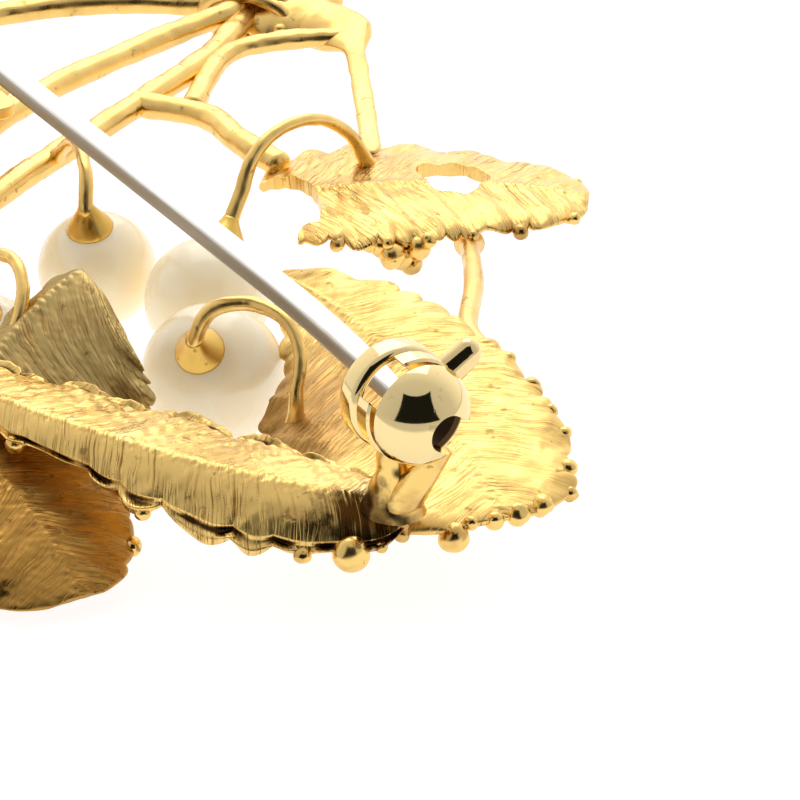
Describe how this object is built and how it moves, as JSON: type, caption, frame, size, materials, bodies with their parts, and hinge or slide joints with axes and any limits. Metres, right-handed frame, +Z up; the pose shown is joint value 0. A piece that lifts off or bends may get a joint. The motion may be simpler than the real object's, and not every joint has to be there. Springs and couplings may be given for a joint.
{
  "type": "leaf spray brooch",
  "caption": "Gold leaf spray brooch with pearls hung on wire hooks, seen back upwards, with a hinged pin that closes into a roll-over safety catch.",
  "frame": {"origin": "centre of the bounding box, on the surface that the brooch lies on face down", "axes": "+X along the closed pin from hinge to catch, +Y across the brooch, +Z up, from the wearer's side of the brooch"},
  "size_m": [0.0554, 0.0446, 0.0119],
  "materials": {
    "leaf_gold": "engraved and polished yellow gold",
    "granule_gold": "bright yellow gold granules",
    "wire_gold": "drawn yellow gold wire",
    "polished_gold": "mirror polished yellow gold",
    "white_gold": "white gold with fine lengthwise scratches",
    "pearl": "soft pearl lustre"
  },
  "bodies": {
    "spray": {"catch_leaf": "leaf_gold", "broad_leaf": "leaf_gold", "fan_leaf": "leaf_gold", "low_leaf": "leaf_gold", "upright_leaf": "leaf_gold", "side_leaf": "leaf_gold", "hinge_leaf": "leaf_gold", "catch_leaf_granules": "granule_gold", "broad_leaf_granules": "granule_gold", "fan_leaf_granules": "granule_gold", "low_leaf_granules": "granule_gold", "side_leaf_granules": "granule_gold", "hinge_leaf_granules": "granule_gold", "stem_outer": "wire_gold", "stem_hinge": "wire_gold", "stem_inner": "wire_gold", "stem_fan": "wire_gold", "stem_top": "wire_gold", "stem_binding": "wire_gold", "bridge_rod_near": "wire_gold", "bridge_rod_far": "wire_gold", "pearl_1": "pearl", "pearl_2": "pearl", "pearl_3": "pearl", "pearl_4": "pearl", "pearl_5": "pearl", "pearl_cup_1": "wire_gold", "pearl_cup_2": "wire_gold", "pearl_cup_3": "wire_gold", "pearl_cup_4": "wire_gold", "pearl_cup_5": "wire_gold", "pearl_wire_1": "wire_gold", "pearl_wire_2": "wire_gold", "pearl_wire_3": "wire_gold", "pearl_wire_4": "wire_gold", "pearl_wire_5": "wire_gold", "hinge_plate": "wire_gold", "hinge_ears": "wire_gold", "hinge_rivet": "polished_gold", "catch_foot": "wire_gold", "catch_barrel": "polished_gold", "catch_end_cap": "polished_gold"},
    "pin": {"pin_stem": "white_gold", "pin_knuckle": "white_gold"},
    "lock": {"catch_rotor": "polished_gold", "catch_lever": "polished_gold"}
  },
  "joints": [
    {"name": "pin_lift", "type": "hinge", "parent": "spray", "child": "pin", "pos_m": [-0.01673, -0.00095, 0.01015], "axis": [0, -1, 0], "range_deg": [0, 90]},
    {"name": "catch_lock", "type": "hinge", "parent": "spray", "child": "lock", "pos_m": [0.02527, -0.0012, 0.0098], "axis": [1, 0, 0], "range_deg": [0, 194]}
  ]
}
